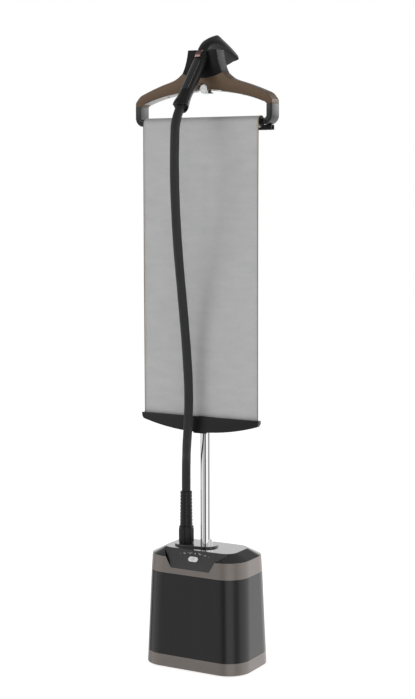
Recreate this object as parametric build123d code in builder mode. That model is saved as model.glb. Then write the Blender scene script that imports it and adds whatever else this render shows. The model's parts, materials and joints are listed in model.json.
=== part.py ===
from build123d import *

import math
import os

os.makedirs("parts", exist_ok=True)

# Upright garment steamer with a hanger frame, a roller screen and a steam head.
# Millimetres. Origin: floor level, on the axis of the mast. +X right, +Y to the rear, +Z up.

# ---------------------------------------------------------------- driving dimensions
FOOT_H = 4.0              # rubber feet below the tray
SKIRT_TOP = 38.0          # seam between tray and housing
SHOULDER_Z = 270.0        # seam between housing and shoulder band
RIM_Z = 315.8             # top edge of the shoulder band
DECK_Z = 334.1            # flat top of the base
FLOOR_W, FLOOR_D = 321.0, 216.0
SHOULDER_W, SHOULDER_D = 304.0, 195.6
RIM_W, RIM_D = 299.0, 189.4
DECK_W, DECK_D = 224.0, 120.0
CORNER_R = 67.0
WALL = 3.0

BOSS_TOP = 339.0          # raised oval plate that carries mast and hose connector
BOSS_R = 33.0
HOSE_X, HOSE_Y = -62.0, -8.0

LOWER_R, UPPER_R, TUBE_WALL = 17.8, 15.0, 1.5
LOWER_BOTTOM, LOWER_TOP = 250.0, 1108.0
UPPER_BOTTOM, UPPER_TOP = 915.0, 1478.0
COLLAR_BOTTOM, COLLAR_TOP = 1104.0, 1128.0
TEE_BOTTOM, TEE_TOP = 1430.0, 1493.2

FRAME_DEPTH = 42.0        # hanger, cradle and end arms
FRAME_HALF = 213.5        # half width over the end arms
ARM_T = 16.6
ARM_TOP = 1563.0
BEAM_BOTTOM, BEAM_TOP = 1493.5, 1508.0
BEAM_HALF = 200.0

SCREEN_HALF = 180.0
ROLLER_Y, ROLLER_Z = -18.1, 1514.5
ROLLER_R, ROLL_R = 13.0, 15.5
SCREEN_T = 0.8
SCREEN_Y = ROLLER_Y - ROLL_R
BAR_HALF, BAR_TOP, BAR_BOTTOM = 185.5, 708.8, 665.0
BAR_FRONT, BAR_BACK = -43.0, -27.2

HANDLE_TILT = 40.5        # lean of the handle from the vertical, towards the front
HANDLE_O = (0.0, -64.5, 1640.0)
HOSE_R = 12.5
RELIEF_TOP = 487.0

FRONT = Plane.XZ          # its normal points to the front, -Y


def blend_size(z, low, high, z_low, z_high):
    """Linear change of a size between two heights."""
    return low + (high - low) * (z - z_low) / (z_high - z_low)


def housing_outline(z, inset=0.0):
    """Rounded rectangle of the tapered housing at height z."""
    width = blend_size(z, FLOOR_W, SHOULDER_W, 0, SHOULDER_Z) - 2 * inset
    depth = blend_size(z, FLOOR_D, SHOULDER_D, 0, SHOULDER_Z) - 2 * inset
    with BuildSketch(Plane.XY.offset(z)) as outline:
        RectangleRounded(width, depth, CORNER_R - inset)
    return outline.sketch


def plain_outline(z, width, depth, radius):
    with BuildSketch(Plane.XY.offset(z)) as outline:
        RectangleRounded(width, depth, radius)
    return outline.sketch


def tapered(z_low, z_high, inset=0.0):
    """Solid of the housing's outer shape between two heights."""
    with BuildPart() as solid:
        loft([housing_outline(z_low, inset), housing_outline(z_high, inset)])
    return solid.part


def box_between(low, high):
    """Axis-aligned block from its lowest to its highest corner."""
    size = [b - a for a, b in zip(low, high)]
    centre = [(a + b) / 2 for a, b in zip(low, high)]
    return Box(*size, mode=Mode.PRIVATE).moved(Location(tuple(centre)))


def rod(plane, radius, length):
    """Cylinder that stands on a plane's origin along its normal."""
    with BuildPart() as piece:
        with BuildSketch(plane):
            Circle(radius)
        extrude(amount=length)
    return piece.part


# ================================================================ base
TRAY_FLOOR = 3.0
LIP_H = 8.0
SCREW_SPOTS = [(x, y) for x in (-70, 70) for y in (-86, 86)]
FOOT_SPOTS = [(x, y) for x in (-112, 112) for y in (-62, 62)] + [(0, 0)]     # the fifth is under the mast
FOOT_R, STUD_R = 13.0, 3.0

with BuildPart() as bottom_tray:
    add(tapered(FOOT_H, SKIRT_TOP))
    add(tapered(FOOT_H + TRAY_FLOOR, SKIRT_TOP + 1, WALL), mode=Mode.SUBTRACT)
    # lip that the housing drops over
    add(tapered(SKIRT_TOP - 6, SKIRT_TOP, WALL - 1))
    add(tapered(SKIRT_TOP, SKIRT_TOP + LIP_H, WALL + 0.2))
    add(tapered(SKIRT_TOP - 7, SKIRT_TOP + LIP_H + 1, 2 * WALL), mode=Mode.SUBTRACT)
    # screw pillars
    with BuildSketch(Plane.XY.offset(FOOT_H + TRAY_FLOOR)):
        with Locations(*SCREW_SPOTS):
            Circle(6)
    extrude(amount=20)
    with BuildSketch(Plane.XY.offset(FOOT_H)):
        with Locations(*SCREW_SPOTS):
            Circle(2)
        with Locations(*FOOT_SPOTS):
            Circle(STUD_R)
    extrude(amount=30, mode=Mode.SUBTRACT)
bottom_tray.part.label = "bottom_tray"
export_step(bottom_tray.part, "parts/bottom_tray.step")

with BuildPart() as rubber_feet:
    with BuildSketch():
        with Locations(*FOOT_SPOTS):
            Circle(FOOT_R)
    extrude(amount=FOOT_H)
    chamfer(rubber_feet.edges().group_by(Axis.Z)[0], 1)
    with BuildSketch(Plane.XY.offset(FOOT_H)):
        with Locations(*FOOT_SPOTS):
            Circle(STUD_R)
    extrude(amount=TRAY_FLOOR + 2)
rubber_feet.part.label = "rubber_feet"
export_step(rubber_feet.part, "parts/rubber_feet.step")

with BuildPart() as housing_screws:
    with BuildSketch(Plane.XY.offset(FOOT_H)):
        with Locations(*SCREW_SPOTS):
            Circle(2)
    extrude(amount=22)
    with BuildSketch(Plane.XY.offset(FOOT_H)):
        with Locations(*SCREW_SPOTS):
            Circle(4)
    extrude(amount=-1.6)
housing_screws.part.label = "housing_screws"
export_step(housing_screws.part, "parts/housing_screws.step")

# rear bay for the water tank
BAY_HALF, BAY_FRONT, BAY_LOW, BAY_HIGH = 97.0, 35.0, 58.0, 257.0
REAR = 130.0
INLET_X, INLET_Z, INLET_R = 118.0, 66.0, 7.0

with BuildPart() as body_shell:
    add(tapered(SKIRT_TOP, SHOULDER_Z))
    add(tapered(SKIRT_TOP - 1, SHOULDER_Z + 1, WALL), mode=Mode.SUBTRACT)
    add(box_between((-BAY_HALF, BAY_FRONT, BAY_LOW), (BAY_HALF, REAR, BAY_HIGH)), mode=Mode.SUBTRACT)
    add(rod(Plane((INLET_X, REAR, INLET_Z), z_dir=(0, -1, 0)), INLET_R, 80), mode=Mode.SUBTRACT)
body_shell.part.label = "body_shell"
export_step(body_shell.part, "parts/body_shell.step")

RECEIVER_X, RECEIVER_Z, SPIGOT_R = -50.0, 78.0, 6.0
with BuildPart() as tank_bay:
    add(box_between((-BAY_HALF - 2, BAY_FRONT - 2, BAY_LOW - 2), (BAY_HALF + 2, REAR, BAY_HIGH + 2)))
    add(box_between((-BAY_HALF, BAY_FRONT, BAY_LOW), (BAY_HALF, REAR, BAY_HIGH)), mode=Mode.SUBTRACT)
    add(tapered(SKIRT_TOP + 1, SHOULDER_Z, WALL + 0.2), mode=Mode.INTERSECT)
    add(rod(Plane((RECEIVER_X, BAY_FRONT + 1, RECEIVER_Z), z_dir=(0, -1, 0)), 9, 10), mode=Mode.SUBTRACT)
tank_bay.part.label = "tank_bay"
export_step(tank_bay.part, "parts/tank_bay.step")

with BuildPart() as tank_receiver:
    add(rod(Plane((RECEIVER_X, BAY_FRONT - 2, RECEIVER_Z), z_dir=(0, -1, 0)), 11, 19))
    add(rod(Plane((RECEIVER_X, BAY_FRONT - 2, RECEIVER_Z), z_dir=(0, -1, 0)), SPIGOT_R + 0.5, 13),
        mode=Mode.SUBTRACT)
tank_receiver.part.label = "tank_receiver"
export_step(tank_receiver.part, "parts/tank_receiver.step")

TANK_GAP, TANK_WALL = 0.6, 2.5
TANK_LOW, TANK_HIGH, TANK_HALF, TANK_FRONT = BAY_LOW + TANK_GAP, 242.0, BAY_HALF - TANK_GAP, BAY_FRONT + 1
NECK_Y, NECK_R, CAP_R = 62.0, 14.0, 20.0
with BuildPart() as tank_shell:
    add(box_between((-TANK_HALF, TANK_FRONT, TANK_LOW), (TANK_HALF, REAR, TANK_HIGH)))
    add(tapered(SKIRT_TOP, SHOULDER_Z), mode=Mode.INTERSECT)
    add(box_between((-TANK_HALF + TANK_WALL, TANK_FRONT + TANK_WALL, TANK_LOW + TANK_WALL),
                    (TANK_HALF - TANK_WALL, 84, TANK_HIGH - TANK_WALL)), mode=Mode.SUBTRACT)
    # grip lip above the rear wall
    add(box_between((-TANK_HALF, 86, TANK_HIGH - 1), (TANK_HALF, 93, BAY_HIGH - TANK_GAP)))
    # filler neck
    add(rod(Plane((0, NECK_Y, TANK_HIGH - 1)), NECK_R + 3, 6))
    add(rod(Plane((0, NECK_Y, TANK_HIGH - 5)), NECK_R, 12), mode=Mode.SUBTRACT)
    # spigot with its water way
    add(rod(Plane((RECEIVER_X, TANK_FRONT + 1, RECEIVER_Z), z_dir=(0, -1, 0)), SPIGOT_R, 12))
    add(rod(Plane((RECEIVER_X, TANK_FRONT + 5, RECEIVER_Z), z_dir=(0, -1, 0)), 3, 20), mode=Mode.SUBTRACT)
tank_shell.part.label = "tank_shell"
export_step(tank_shell.part, "parts/tank_shell.step")

with BuildPart() as tank_cap:
    add(rod(Plane((0, NECK_Y, TANK_HIGH + 0.4)), CAP_R, 8))
    add(rod(Plane((0, NECK_Y, TANK_HIGH)), NECK_R + 3.3, 5.4), mode=Mode.SUBTRACT)
    add(box_between((-CAP_R + 3, NECK_Y - 2.5, TANK_HIGH + 8), (CAP_R - 3, NECK_Y + 2.5, TANK_HIGH + 12.5)))
tank_cap.part.label = "tank_cap"
export_step(tank_cap.part, "parts/tank_cap.step")

with BuildPart() as cord_inlet:
    add(rod(Plane((INLET_X, 82, INLET_Z), z_dir=(0, 1, 0)), INLET_R - 0.1, 20))
    add(tapered(SKIRT_TOP, SHOULDER_Z), mode=Mode.INTERSECT)
    add(rod(Plane((INLET_X, 60, INLET_Z), z_dir=(0, 1, 0)), 4, 60), mode=Mode.SUBTRACT)
cord_inlet.part.label = "cord_inlet"
export_step(cord_inlet.part, "parts/cord_inlet.step")

# control panel notch: a sloping face let into the front of band and deck
PANEL_LOW = (-97.2, 286.6)     # y, z at its lower edge
PANEL_HIGH = (-59.5, 334.1)    # y, z at the deck
PANEL_HALF_LOW, PANEL_HALF_HIGH = 61.0, 104.0
PANEL_LEN = math.dist(PANEL_LOW, PANEL_HIGH)
PANEL_SLOPE = ((PANEL_HIGH[0] - PANEL_LOW[0]) / PANEL_LEN, (PANEL_HIGH[1] - PANEL_LOW[1]) / PANEL_LEN)
PANEL_NORMAL = (0, -PANEL_SLOPE[1], PANEL_SLOPE[0])
PANEL_PLANE = Plane((0, PANEL_LOW[0], PANEL_LOW[1]), x_dir=(1, 0, 0), z_dir=PANEL_NORMAL)


def panel_outline(grow=0.0, over=0.0):
    """Trapezoid on the sloping panel plane: wider at the deck than in the band."""
    side = (PANEL_HALF_HIGH - PANEL_HALF_LOW) / PANEL_LEN
    top = PANEL_LEN + over
    with BuildSketch(PANEL_PLANE) as outline:
        with BuildLine():
            Polyline((-PANEL_HALF_LOW - grow, -grow), (PANEL_HALF_LOW + grow, -grow),
                     (PANEL_HALF_LOW + grow + side * top, top), (-PANEL_HALF_LOW - grow - side * top, top),
                     close=True)
        make_face()
    return outline.sketch


with BuildPart() as panel_notch:
    extrude(panel_outline(over=30), amount=80)
    extrude(panel_outline(over=-0.2), amount=-3)

with BuildPart() as shoulder_band:
    loft([housing_outline(SHOULDER_Z), plain_outline(RIM_Z, RIM_W, RIM_D, CORNER_R - 1)])
    loft([housing_outline(SHOULDER_Z - 0.01, WALL), plain_outline(RIM_Z + 0.01, RIM_W - 2 * WALL,
          RIM_D - 2 * WALL, CORNER_R - 1 - WALL)], mode=Mode.SUBTRACT)
    add(panel_notch.part, mode=Mode.SUBTRACT)
shoulder_band.part.label = "shoulder_band"
export_step(shoulder_band.part, "parts/shoulder_band.step")

with BuildPart() as top_deck:
    loft([plain_outline(RIM_Z, RIM_W, RIM_D, CORNER_R - 1), plain_outline(DECK_Z, DECK_W, DECK_D, 34)])
    loft([plain_outline(RIM_Z - 0.01, RIM_W - 8, RIM_D - 8, CORNER_R - 5),
          plain_outline(DECK_Z - WALL, DECK_W - 8, DECK_D - 8, 30)], mode=Mode.SUBTRACT)
    add(panel_notch.part, mode=Mode.SUBTRACT)
    with BuildSketch(Plane.XY.offset(DECK_Z - 10)):
        Circle(LOWER_R + 0.1)
        with Locations((HOSE_X, HOSE_Y)):
            Circle(12)
    extrude(amount=20, mode=Mode.SUBTRACT)
top_deck.part.label = "top_deck"
export_step(top_deck.part, "parts/top_deck.step")

BUTTON_W, BUTTON_H, BUTTON_UP = 30.0, 15.0, 33.0     # size, and place up the slope
LIGHT_SPOTS = [(16.0 * i, 50.5 - 0.7 * i * i) for i in range(-2, 3)]
with BuildPart() as control_panel:
    extrude(panel_outline(over=-0.2), amount=-3)
    with BuildSketch(PANEL_PLANE):
        with Locations((0, BUTTON_UP)):
            SlotOverall(BUTTON_W + 0.8, BUTTON_H + 0.8)
        with Locations(*LIGHT_SPOTS):
            Circle(1.6)
    extrude(amount=-4, mode=Mode.SUBTRACT)
control_panel.part.label = "control_panel"
export_step(control_panel.part, "parts/control_panel.step")

with BuildPart() as indicator_lights:
    with BuildSketch(PANEL_PLANE.offset(-3)):
        with Locations(*LIGHT_SPOTS):
            Circle(1.6)
    extrude(amount=3.2)
indicator_lights.part.label = "indicator_lights"
export_step(indicator_lights.part, "parts/indicator_lights.step")

BUTTON_TRAVEL = 2.0
with BuildPart() as power_button:
    with BuildSketch(PANEL_PLANE.offset(-4)):
        with Locations((0, BUTTON_UP)):
            SlotOverall(BUTTON_W, BUTTON_H)
    extrude(amount=6.2)
    button_face = power_button.faces().sort_by(Axis(PANEL_PLANE.origin, PANEL_NORMAL))[-1]
    fillet(button_face.edges(), 1.2)
power_button.part.label = "power_button"
export_step(power_button.part, "parts/power_button.step")

with BuildPart() as control_board:
    with BuildSketch(PANEL_PLANE.offset(-12)):
        with Locations((0, 30)):
            Rectangle(96, 44)
    extrude(amount=-1.6)
    with BuildSketch(PANEL_PLANE.offset(-12)):
        with Locations((0, BUTTON_UP)):
            Rectangle(12, 12)
        with Locations((-34, 22), (34, 24)):
            Rectangle(14, 9)
    extrude(amount=4)
control_board.part.label = "control_board"
export_step(control_board.part, "parts/control_board.step")

# ---------------------------------------------------------------- inside the base
BOILER_LOW, BOILER_HIGH = 62.0, 112.0
BOILER_X, BOILER_Y = 40.0, -35.0
with BuildPart() as boiler:
    with BuildSketch(Plane.XY.offset(BOILER_LOW)):
        with Locations((BOILER_X, BOILER_Y)):
            RectangleRounded(130, 70, 14)
    extrude(amount=BOILER_HIGH - BOILER_LOW)
    # cooling ribs on top
    with BuildSketch(Plane.XY.offset(BOILER_HIGH)):
        with Locations((BOILER_X, BOILER_Y)):
            with GridLocations(0, 12, 1, 5):
                Rectangle(88, 4)
    extrude(amount=8)
    # legs that stand on the tray
    with BuildSketch(Plane.XY.offset(FOOT_H + TRAY_FLOOR)):
        with Locations((BOILER_X, BOILER_Y)):
            with GridLocations(100, 44, 2, 2):
                Circle(5)
    extrude(amount=BOILER_LOW - FOOT_H - TRAY_FLOOR)
boiler.part.label = "boiler"
export_step(boiler.part, "parts/boiler.step")

PUMP_X, PUMP_Y, PUMP_Z, PUMP_R = -85.0, -35.0, 60.0, 20.0
with BuildPart() as pump:
    add(rod(Plane((PUMP_X - 35, PUMP_Y, PUMP_Z), z_dir=(1, 0, 0)), PUMP_R, 60))
    add(rod(Plane((PUMP_X + 20, PUMP_Y, PUMP_Z), z_dir=(1, 0, 0)), PUMP_R - 8, 15))
    add(box_between((PUMP_X - 30, PUMP_Y - 18, FOOT_H + TRAY_FLOOR), (PUMP_X + 20, PUMP_Y + 18, PUMP_Z - 14)))
pump.part.label = "pump"
export_step(pump.part, "parts/pump.step")

TUBE_R = 3.5


def bent_tube(points, bend, radius):
    """Tube along straight runs with equal bends."""
    with BuildPart() as tube:
        with BuildLine() as route:
            FilletPolyline(*points, radius=bend)
        with BuildSketch(Plane(route.line @ 0, z_dir=route.line % 0)):
            Circle(radius)
        sweep()
    return tube.part


with BuildPart() as feed_tube:
    add(bent_tube([(RECEIVER_X, BAY_FRONT - 21, RECEIVER_Z), (RECEIVER_X, PUMP_Y, RECEIVER_Z),
                   (RECEIVER_X, PUMP_Y, 92), (PUMP_X, PUMP_Y, 92),
                   (PUMP_X, PUMP_Y, PUMP_Z + PUMP_R)], 6, TUBE_R))
feed_tube.part.label = "feed_tube"
export_step(feed_tube.part, "parts/feed_tube.step")

with BuildPart() as pressure_tube:
    add(bent_tube([(PUMP_X + 35, PUMP_Y, PUMP_Z), (-36, PUMP_Y, PUMP_Z), (-36, PUMP_Y, 84),
                   (BOILER_X - 65, PUMP_Y, 84)], 5, TUBE_R))
pressure_tube.part.label = "pressure_tube"
export_step(pressure_tube.part, "parts/pressure_tube.step")

with BuildPart() as steam_pipe:
    add(bent_tube([(-12, HOSE_Y, BOILER_HIGH), (-12, HOSE_Y, 200), (HOSE_X, HOSE_Y, 240),
                   (HOSE_X, HOSE_Y, DECK_Z - WALL)], 12, 5))
steam_pipe.part.label = "steam_pipe"
export_step(steam_pipe.part, "parts/steam_pipe.step")

# ================================================================ mast
with BuildPart() as mast_socket:
    add(rod(Plane((0, 0, LOWER_BOTTOM - 4)), LOWER_R + 3.7, DECK_Z - WALL - LOWER_BOTTOM + 4))
    add(rod(Plane((0, 0, DECK_Z - WALL - 4)), 31, 4))
    add(rod(Plane((0, 0, LOWER_BOTTOM)), LOWER_R + 0.1, 100), mode=Mode.SUBTRACT)
mast_socket.part.label = "mast_socket"
export_step(mast_socket.part, "parts/mast_socket.step")

with BuildPart() as mast_boss:
    with BuildSketch(Plane.XY.offset(DECK_Z)):
        with Locations(Location((HOSE_X / 2, HOSE_Y / 2), math.degrees(math.atan2(HOSE_Y, HOSE_X)))):
            SlotCenterToCenter(math.hypot(HOSE_X, HOSE_Y), 2 * BOSS_R)
    extrude(amount=BOSS_TOP - DECK_Z)
    fillet(mast_boss.edges().group_by(Axis.Z)[-1], 2)
    with BuildSketch(Plane.XY.offset(DECK_Z - 1)):
        Circle(LOWER_R + 0.1)
        with Locations((HOSE_X, HOSE_Y)):
            Circle(12)
    extrude(amount=10, mode=Mode.SUBTRACT)
mast_boss.part.label = "mast_boss"
export_step(mast_boss.part, "parts/mast_boss.step")


def pipe(bottom, top, outer, inner):
    """Upright tube on the mast axis."""
    with BuildPart() as tube:
        with BuildSketch(Plane.XY.offset(bottom)):
            Circle(outer)
            Circle(inner, mode=Mode.SUBTRACT)
        extrude(amount=top - bottom)
    return tube.part


with BuildPart() as lower_tube:
    add(pipe(LOWER_BOTTOM, LOWER_TOP, LOWER_R, LOWER_R - TUBE_WALL))
lower_tube.part.label = "lower_tube"
export_step(lower_tube.part, "parts/lower_tube.step")

with BuildPart() as guide_bush:
    add(pipe(LOWER_TOP - 34, LOWER_TOP, LOWER_R - TUBE_WALL, UPPER_R + 0.15))
    add(pipe(LOWER_TOP, LOWER_TOP + 2, LOWER_R, UPPER_R + 0.15))
guide_bush.part.label = "guide_bush"
export_step(guide_bush.part, "parts/guide_bush.step")

PIN_Y, PIN_Z, PIN_R = 30.0, 1116.0, 2.5
with BuildPart() as clamp_collar:
    add(pipe(COLLAR_BOTTOM, COLLAR_TOP, 23.5, LOWER_R + 0.1))
    add(pipe(LOWER_TOP + 2, COLLAR_TOP, 23.5, UPPER_R + 0.5))
    chamfer(clamp_collar.edges().group_by(Axis.Z)[-1].sort_by(SortBy.RADIUS)[-1], 2)
    for x_low in (-12, 7.3):
        add(box_between((x_low, 19, PIN_Z - 8), (x_low + 4.7, PIN_Y + 6, PIN_Z + 8)))
    add(rod(Plane((-20, PIN_Y, PIN_Z), z_dir=(1, 0, 0)), PIN_R, 40), mode=Mode.SUBTRACT)
clamp_collar.part.label = "clamp_collar"
export_step(clamp_collar.part, "parts/clamp_collar.step")

with BuildPart() as lever_pin:
    add(rod(Plane((-13.5, PIN_Y, PIN_Z), z_dir=(1, 0, 0)), PIN_R, 27))
    add(rod(Plane((-15, PIN_Y, PIN_Z), z_dir=(1, 0, 0)), PIN_R + 1.5, 1.8))
lever_pin.part.label = "lever_pin"
export_step(lever_pin.part, "parts/lever_pin.step")

with BuildPart() as clamp_lever:
    with BuildSketch(Plane.YZ.offset(-7)):
        with BuildLine():
            Line((PIN_Y - 5.5, PIN_Z), (PIN_Y - 3.5, PIN_Z - 46))
            ThreePointArc((PIN_Y - 3.5, PIN_Z - 46), (PIN_Y + 1, PIN_Z - 50), (PIN_Y + 5, PIN_Z - 45))
            Line((PIN_Y + 5, PIN_Z - 45), (PIN_Y + 5.5, PIN_Z))
            ThreePointArc((PIN_Y + 5.5, PIN_Z), (PIN_Y, PIN_Z + 5.5), (PIN_Y - 5.5, PIN_Z))
        make_face()
    extrude(amount=14)
    add(rod(Plane((-10, PIN_Y, PIN_Z), z_dir=(1, 0, 0)), PIN_R + 0.1, 20), mode=Mode.SUBTRACT)
clamp_lever.part.label = "clamp_lever"
export_step(clamp_lever.part, "parts/clamp_lever.step")

# clip that steadies the screen bar on the mast
with BuildPart() as mast_clip:
    add(pipe(702, 728, LOWER_R + 3.4, LOWER_R))
    add(box_between((-13, -26.6, 704), (13, -LOWER_R - 1, 727)))
    fillet(mast_clip.faces().sort_by(Axis.Y)[0].edges(), 2)
mast_clip.part.label = "mast_clip"
export_step(mast_clip.part, "parts/mast_clip.step")

with BuildPart() as upper_tube:
    add(pipe(UPPER_BOTTOM, UPPER_TOP, UPPER_R, UPPER_R - TUBE_WALL))
upper_tube.part.label = "upper_tube"
export_step(upper_tube.part, "parts/upper_tube.step")

with BuildPart() as tube_slider:
    add(pipe(UPPER_BOTTOM - 14, UPPER_BOTTOM, LOWER_R - TUBE_WALL - 0.3, 8))
    add(pipe(UPPER_BOTTOM, UPPER_BOTTOM + 16, UPPER_R - TUBE_WALL, 8))
tube_slider.part.label = "tube_slider"
export_step(tube_slider.part, "parts/tube_slider.step")

LATCH_X, LATCH_Z, LATCH_R = 13.0, 1445.0, 5.5
with BuildPart() as tee_bracket:
    with BuildSketch(Plane.XY.offset(TEE_BOTTOM)):
        RectangleRounded(40, 40, 16)
    extrude(amount=TEE_TOP - TEE_BOTTOM)
    # head that carries the cross beam
    add(box_between((-20, -2, TEE_TOP - 22), (20, 20, TEE_TOP)))
    add(rod(Plane((0, 0, TEE_BOTTOM - 1)), UPPER_R + 0.05, UPPER_TOP - TEE_BOTTOM + 1), mode=Mode.SUBTRACT)
    add(rod(Plane((LATCH_X, -30, LATCH_Z), z_dir=(0, 1, 0)), LATCH_R + 0.3, 16.8), mode=Mode.SUBTRACT)
tee_bracket.part.label = "tee_bracket"
export_step(tee_bracket.part, "parts/tee_bracket.step")

with BuildPart() as tee_latch:
    add(rod(Plane((LATCH_X, -24.5, LATCH_Z), z_dir=(0, 1, 0)), LATCH_R, 8))
    chamfer(tee_latch.faces().sort_by(Axis.Y)[0].edges(), 1)
tee_latch.part.label = "tee_latch"
export_step(tee_latch.part, "parts/tee_latch.step")

# ================================================================ hanger frame
BEAM_FRONT, BEAM_BACK = 3.2, 20.0
with BuildPart() as cross_beam:
    with BuildSketch(Plane.YZ.offset(-BEAM_HALF)):
        with Locations(((BEAM_FRONT + BEAM_BACK) / 2, (BEAM_BOTTOM + BEAM_TOP) / 2)):
            RectangleRounded(BEAM_BACK - BEAM_FRONT, BEAM_TOP - BEAM_BOTTOM, 3)
            Rectangle(BEAM_BACK - BEAM_FRONT - 5, BEAM_TOP - BEAM_BOTTOM - 5, mode=Mode.SUBTRACT)
    extrude(amount=2 * BEAM_HALF)
cross_beam.part.label = "cross_beam"
export_step(cross_beam.part, "parts/cross_beam.step")

FOOT_IN, FOOT_TOP = 184.0, 1524.5     # inner end and top of the arm's foot
PIN_HOLE_R = 4.0


def end_arm_solid(side):
    """Black end of the hanger loop: down the side and inwards to a foot."""
    inner, bottom = FRAME_HALF - ARM_T, BEAM_TOP + 0.2
    with BuildPart() as arm:
        with BuildSketch(FRONT.offset(-FRAME_DEPTH / 2)) as outline:
            with BuildLine():
                Polyline((inner, ARM_TOP), (FRAME_HALF, ARM_TOP), (FRAME_HALF, bottom), (FOOT_IN, bottom),
                         (FOOT_IN, FOOT_TOP), (inner, FOOT_TOP), close=True)
            make_face()
            fillet(outline.vertices().sort_by_distance((FRAME_HALF, bottom))[0], 24)
            fillet(outline.vertices().sort_by_distance((inner, FOOT_TOP))[0], 8)
        extrude(amount=FRAME_DEPTH)
        add(rod(Plane((FOOT_IN - 1, ROLLER_Y, ROLLER_Z), z_dir=(1, 0, 0)), PIN_HOLE_R + 0.2, 14),
            mode=Mode.SUBTRACT)
    return arm.part if side > 0 else mirror(arm.part, about=Plane.YZ)


with BuildPart() as end_arm_right:
    add(end_arm_solid(1))
end_arm_right.part.label = "end_arm_right"
export_step(end_arm_right.part, "parts/end_arm_right.step")

with BuildPart() as end_arm_left:
    add(end_arm_solid(-1))
end_arm_left.part.label = "end_arm_left"
export_step(end_arm_left.part, "parts/end_arm_left.step")

# right half of the hanger's outline, from the middle outwards (x, z)
CRADLE_MID_Z, CRADLE_SIDE = 1636.0, (62.0, 1650.0)
SHOULDER_LINE = [(62, 1650), (82, 1634.8), (112, 1624), (150, 1611.5), (185, 1597.8), (202.5, 1587.2),
                 (211, 1576.5), (FRAME_HALF, ARM_TOP)]
UNDER_LINE = [(FRAME_HALF - ARM_T, ARM_TOP), (187.5, 1570), (143.6, 1584.9), (102.6, 1594),
              (60, 1600), (0, 1604.5)]
NOTCH_R, NOTCH_Z = 15.0, 1607.0

with BuildPart() as hanger_bar:
    with BuildSketch(FRONT.offset(-FRAME_DEPTH / 2)):
        with BuildLine():
            RadiusArc((0, CRADLE_MID_Z), CRADLE_SIDE, -144)
            Spline(*SHOULDER_LINE, tangents=((0.75, -0.66), (0, -1)))
            Line((FRAME_HALF, ARM_TOP), (FRAME_HALF - ARM_T, ARM_TOP))
            Spline(*UNDER_LINE, tangents=((-0.7, 0.7), (-1, 0)))
            Line((0, 1604.5), (0, CRADLE_MID_Z))
        make_face()
        mirror(about=Plane.YZ)
    extrude(amount=FRAME_DEPTH)
    with BuildSketch(FRONT.offset(-FRAME_DEPTH / 2 - 1)):
        with Locations((0, NOTCH_Z)):
            Circle(NOTCH_R)
        with Locations((0, NOTCH_Z - 15)):
            Rectangle(2 * NOTCH_R, 30)
    extrude(amount=FRAME_DEPTH + 2, mode=Mode.SUBTRACT)
hanger_bar.part.label = "hanger_bar"
export_step(hanger_bar.part, "parts/hanger_bar.step")

# pale liner under each arm
LINER_T, LINER_GAP = 1.6, 0.4
LINER_LINE = [(185, 1571.1), (143.6, 1584.7), (102.6, 1593.8), (60, 1599.8), (30, 1602.9)]
with BuildPart() as hanger_liner:
    with BuildSketch(FRONT.offset(-FRAME_DEPTH / 2 + 2.5)):
        with BuildLine():
            upper = Spline(*[(x, z - LINER_GAP) for x, z in LINER_LINE])
            lower = Spline(*[(x, z - LINER_GAP - LINER_T) for x, z in LINER_LINE])
            Line(upper @ 0, lower @ 0)
            Line(upper @ 1, lower @ 1)
        make_face()
        mirror(about=Plane.YZ)
    extrude(amount=FRAME_DEPTH - 5)
hanger_liner.part.label = "hanger_liner"
export_step(hanger_liner.part, "parts/hanger_liner.step")

PAD_R = 13.0
with BuildPart() as hook_pad:
    with BuildSketch(FRONT.offset(-14)):
        with Locations((0, NOTCH_Z)):
            Circle(PAD_R)
    extrude(amount=28)
    fillet(hook_pad.edges(), 3)
    add(rod(Plane((0, 0, NOTCH_Z + PAD_R - 2)), 4, 3.4))
hook_pad.part.label = "hook_pad"
export_step(hook_pad.part, "parts/hook_pad.step")

with BuildPart() as accessory_hook:
    with BuildSketch(FRONT.offset(6)):
        with BuildLine():
            Polyline((17, 1603.5), (17, 1594), (27, 1594), (27, 1597), (20.5, 1597), (20.5, 1603.3),
                     close=True)
        make_face()
    extrude(amount=12)
accessory_hook.part.label = "accessory_hook"
export_step(accessory_hook.part, "parts/accessory_hook.step")

# ================================================================ steam head, in its cradle
TILT = math.radians(HANDLE_TILT)
HANDLE_DIR = (0.0, math.sin(TILT), math.cos(TILT))


def on_handle(s):
    """Point on the handle's axis, s millimetres up it from its middle."""
    return tuple(o + s * d for o, d in zip(HANDLE_O, HANDLE_DIR))


def handle_plane(s):
    """Plane across the handle; its local -Y side faces the front."""
    return Plane(on_handle(s), x_dir=(1, 0, 0), z_dir=HANDLE_DIR)


SIDE = Plane(HANDLE_O, x_dir=HANDLE_DIR, z_dir=(1, 0, 0))     # local (along the handle, towards the front)
SLOT_R = 19.5

with BuildPart() as cradle_slot:
    with BuildSketch(handle_plane(-60)):
        Circle(SLOT_R)
        with Locations((0, -50)):
            Rectangle(2 * SLOT_R, 100)
    extrude(amount=260)

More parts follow.
